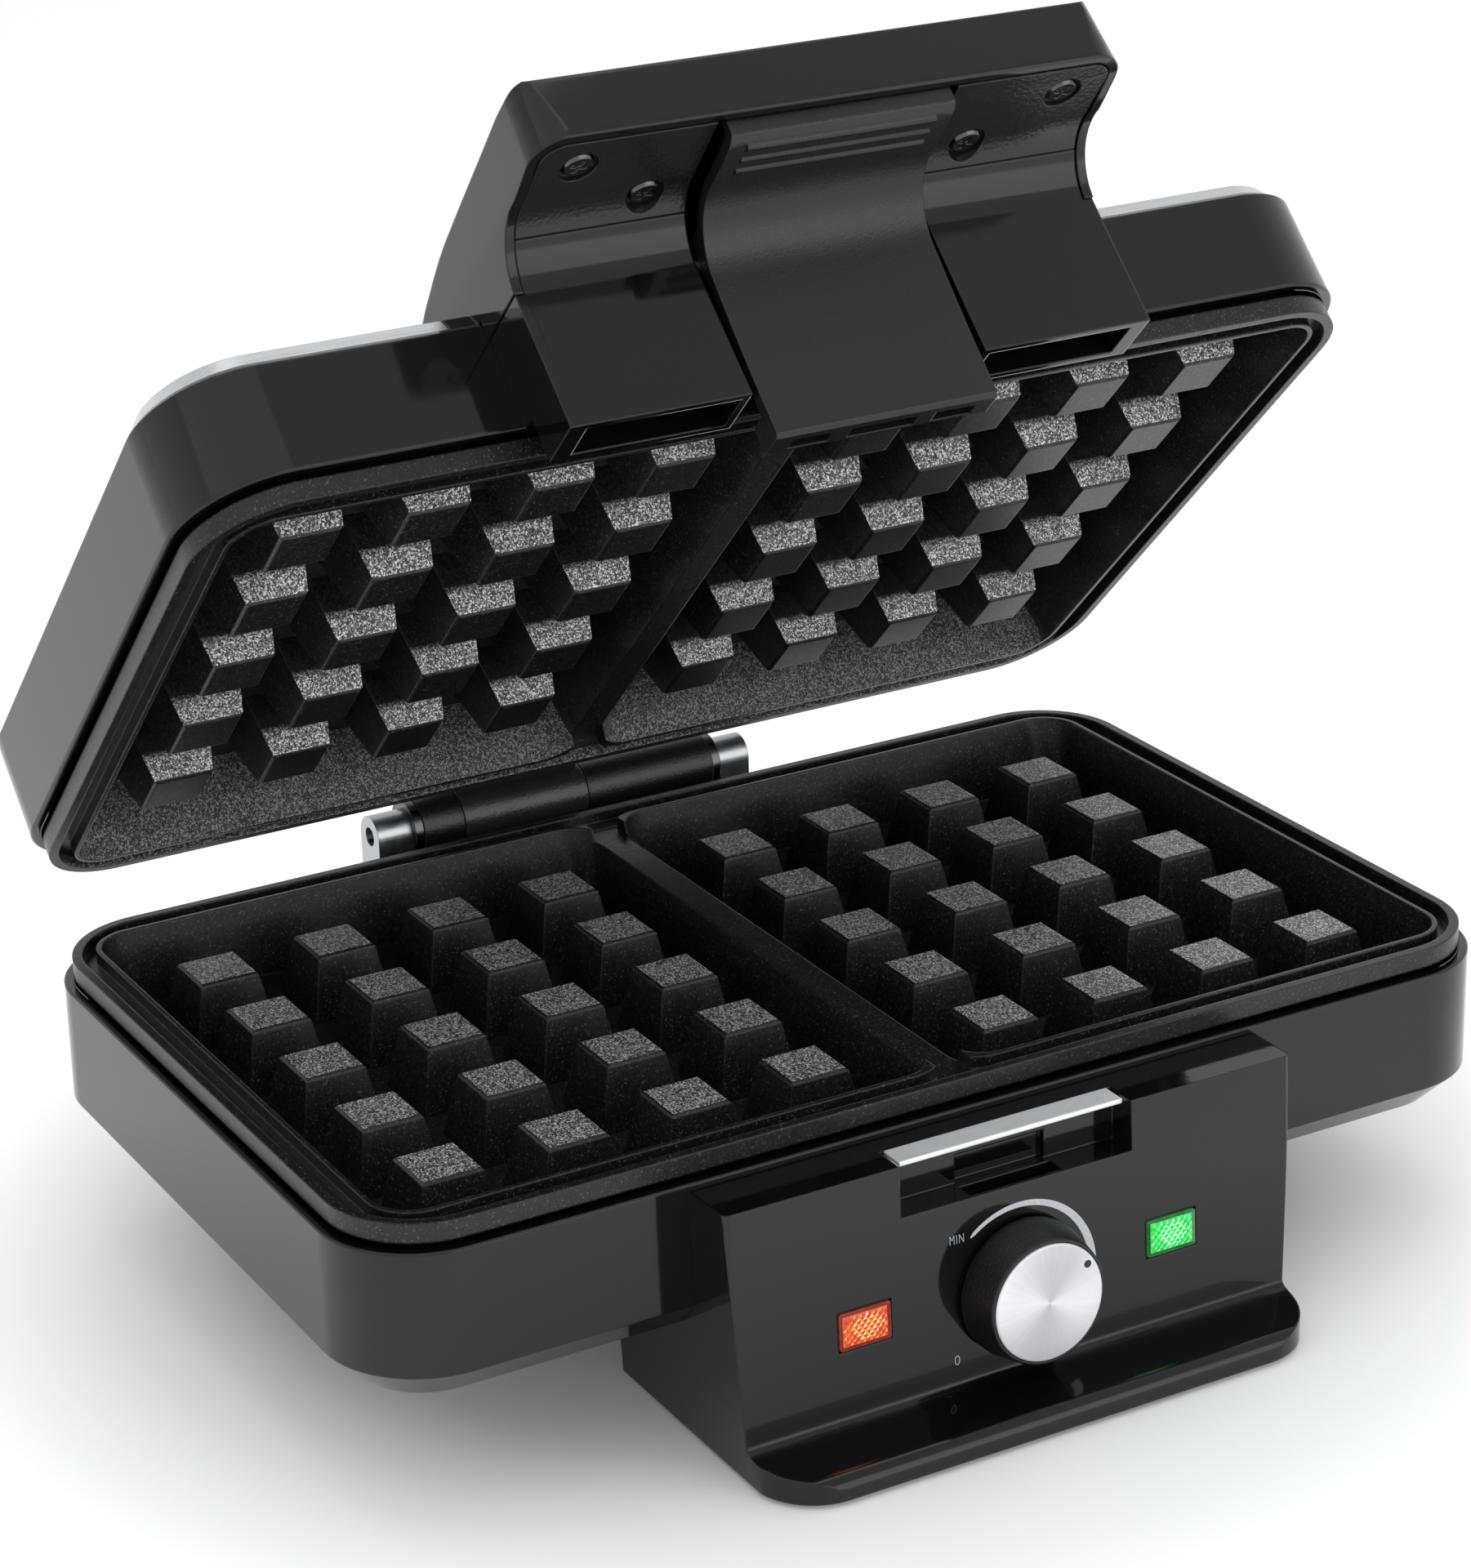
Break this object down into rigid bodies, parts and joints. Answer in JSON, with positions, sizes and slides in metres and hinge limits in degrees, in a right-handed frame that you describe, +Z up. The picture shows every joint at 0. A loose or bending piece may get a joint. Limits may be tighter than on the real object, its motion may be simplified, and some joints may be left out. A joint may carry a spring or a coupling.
{
  "type": "waffle maker",
  "caption": "Electric waffle maker standing open: black casing with two dark grid plates, hinged lid with latch handle, front console with temperature knob and indicator lamps.",
  "frame": {"origin": "centre of the bounding box in X and Y, on the floor under the rubber feet, with the lid standing open", "axes": "+X to the right seen from the front, +Y to the back where the hinge is, +Z up; the console and the knob face -Y"},
  "size_m": [0.25, 0.2168, 0.2437],
  "materials": {
    "gloss_black": "black moulded plastic, smooth and glossy",
    "matte_black": "black plastic with a fine matte texture",
    "rubber": "soft black rubber",
    "nonstick": "cast aluminium with a dark speckled non-stick coat",
    "silver_cover": "silver metal cover with a satin finish",
    "bright_steel": "bright plated steel",
    "zinc_steel": "zinc plated steel",
    "element_steel": "dull oxidised sheath of the heating tube",
    "reflector": "bright rolled aluminium sheet",
    "spun_aluminium": "spun finish with fine circular lines",
    "lamp_orange": "clear orange plastic with fine prisms",
    "lamp_green": "clear green plastic with fine prisms",
    "bulb_glass": "clear glass of the neon lamp",
    "brass": "plain brass",
    "ceramic": "cream ceramic or heat-proof plastic"
  },
  "bodies": {
    "base": {"base_casing": "gloss_black", "control_housing": "gloss_black", "stand_plates": "matte_black", "rear_stand": "gloss_black", "rubber_feet": "rubber", "stand_screws": "zinc_steel", "lower_grid_plate": "nonstick", "lower_pegs": "nonstick", "lower_plate_screws": "zinc_steel", "lower_heating_element": "element_steel", "lower_reflector": "reflector", "thermostat_body": "brass", "thermal_fuse": "ceramic", "terminal_block": "ceramic", "lamp_lens_orange": "lamp_orange", "lamp_lens_green": "lamp_green", "lamp_holders": "matte_black", "lamp_bulbs": "bulb_glass", "latch_keeper": "bright_steel", "cord_inlet_gland": "matte_black", "hinge_posts": "matte_black", "hinge_end_plates": "zinc_steel", "hinge_pin": "bright_steel"},
    "lid": {"lid_casing": "gloss_black", "lid_cover": "silver_cover", "upper_grid_plate": "nonstick", "upper_pegs": "nonstick", "upper_plate_screws": "zinc_steel", "upper_heating_element": "element_steel", "upper_reflector": "reflector", "lid_hinge_barrel": "matte_black", "lid_rear_pads": "rubber", "handle_shell": "gloss_black", "handle_underplate_left": "matte_black", "handle_underplate_right": "matte_black", "front_skirt_left": "gloss_black", "front_skirt_right": "gloss_black", "handle_screws": "zinc_steel", "lever_pin": "bright_steel", "lever_spring": "zinc_steel"},
    "lever": {"latch_lever": "matte_black"},
    "knob": {"knob_body": "matte_black", "knob_disc": "spun_aluminium", "thermostat_shaft": "zinc_steel"}
  },
  "joints": [
    {"name": "lid_hinge", "type": "hinge", "parent": "base", "child": "lid", "pos_m": [0, 0.0895, 0.0596], "axis": [-1, 0, 0], "range_deg": [-44.8, 55.2]},
    {"name": "latch_lever", "type": "hinge", "parent": "lid", "child": "lever", "pos_m": [0, -0.01891, 0.20446], "axis": [-1, 0, 0], "range_deg": [0, 5], "stiffness_Nm_per_rad": 1.2, "springref_deg": -5.73, "deforming": ["lever_spring"]},
    {"name": "knob_turn", "type": "hinge", "parent": "base", "child": "knob", "pos_m": [0, -0.09294, 0.02394], "axis": [0, -0.9988, 0.0495], "range_deg": [-70, 185]}
  ]
}
